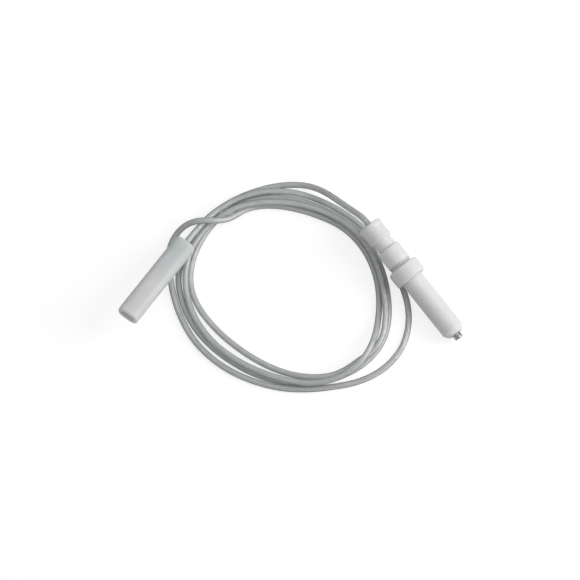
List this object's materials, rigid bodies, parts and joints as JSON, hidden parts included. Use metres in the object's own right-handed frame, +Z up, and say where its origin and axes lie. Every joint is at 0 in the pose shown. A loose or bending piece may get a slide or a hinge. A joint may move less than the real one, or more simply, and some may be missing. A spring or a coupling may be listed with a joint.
{
  "type": "spark ignition electrode with lead",
  "caption": "Ceramic spark electrode with a locating collar, on a coiled insulated high-tension lead that ends in a boot-covered push-on receptacle.",
  "frame": {"origin": "middle of the whole object's underside, on the surface the coil lies on", "axes": "+Z up, +X across the coil from the boot to the electrode, +Y away from the electrode's tip"},
  "size_m": [0.1038, 0.0672, 0.0129],
  "materials": {
    "insulation": "clear silicone sleeve, slightly milky",
    "conductor": "tinned copper strands",
    "ceramic": "fine-grained, satin",
    "electrode_metal": "drawn heat-resistant wire",
    "cement": "matte cement",
    "potting": "silicone sealing compound",
    "ferrule": "nickel-plated",
    "receptacle": "tin-plated brass",
    "boot": "milky translucent, smooth"
  },
  "bodies": {
    "lead": {"lead_insulation": "insulation", "lead_conductor": "conductor"},
    "electrode": {"ceramic_insulator": "ceramic", "spark_rod": "electrode_metal", "nose_seal": "cement", "crimp_ferrule": "ferrule", "rear_potting": "potting", "electrode_tail_insulation": "insulation", "electrode_tail_conductor": "conductor"},
    "terminal": {"receptacle": "receptacle", "terminal_tail_insulation": "insulation", "terminal_tail_conductor": "conductor"},
    "boot": {"insulating_boot": "boot"}
  },
  "joints": [
    {"name": "electrode_lift", "type": "hinge", "parent": "lead", "child": "electrode", "pos_m": [0.01722, 0.02338, 0.00712], "axis": [-0.7804, -0.6252, 0], "range_deg": [0, 50]},
    {"name": "terminal_lift", "type": "hinge", "parent": "lead", "child": "terminal", "pos_m": [-0.0304, 0.01429, 0.00574], "axis": [-0.8161, 0.5779, 0], "range_deg": [0, 40]},
    {"name": "boot_slide", "type": "slide", "parent": "terminal", "child": "boot", "axis": [-0.5722, -0.8082, 0.1392], "range_m": [0, 0.029]}
  ]
}
